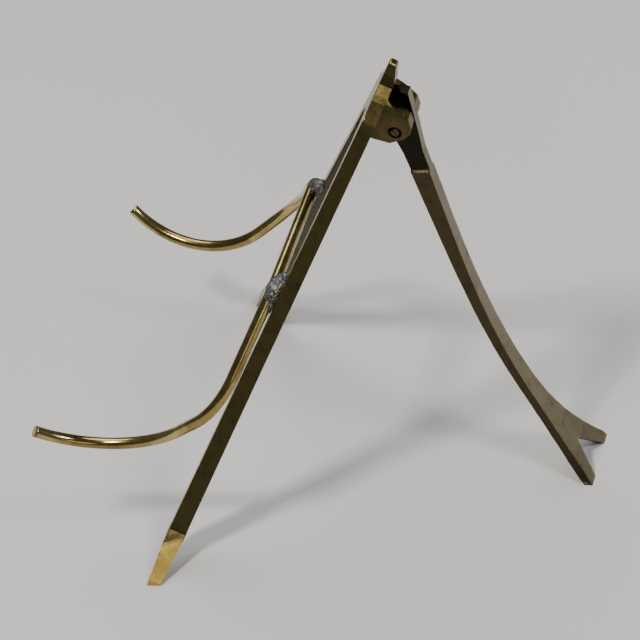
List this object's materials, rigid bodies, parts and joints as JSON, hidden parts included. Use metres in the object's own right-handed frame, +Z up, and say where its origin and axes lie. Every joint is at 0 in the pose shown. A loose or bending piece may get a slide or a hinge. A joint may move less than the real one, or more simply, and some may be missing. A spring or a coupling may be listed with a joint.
{
  "type": "plate display stand",
  "caption": "Folding brass plate stand: cast A-shaped front frame with two bent rod hooks, and a hinged back leg with a forked foot.",
  "frame": {"origin": "on the table, in the middle of the stand's width and depth", "axes": "+Z up, +X across the stand to its right hook as seen from the front, -Y towards the plate and the hooks"},
  "size_m": [0.1152, 0.1422, 0.141],
  "materials": {
    "frame_brass": "aged polish",
    "rod_brass": "polished",
    "solder": "rough dull grey",
    "leg_brass": "aged satin",
    "pin_brass": "tarnished"
  },
  "bodies": {
    "frame": {"front_frame": "frame_brass", "hook_rod": "rod_brass", "solder_joint_right": "solder", "solder_joint_left": "solder", "hinge_pin": "pin_brass"},
    "leg": {"back_leg": "leg_brass"}
  },
  "joints": [
    {"name": "leg_fold", "type": "hinge", "parent": "frame", "child": "leg", "pos_m": [0, 0.03535, 0.12149], "axis": [1, 0, 0], "range_deg": [-44, 0]}
  ]
}
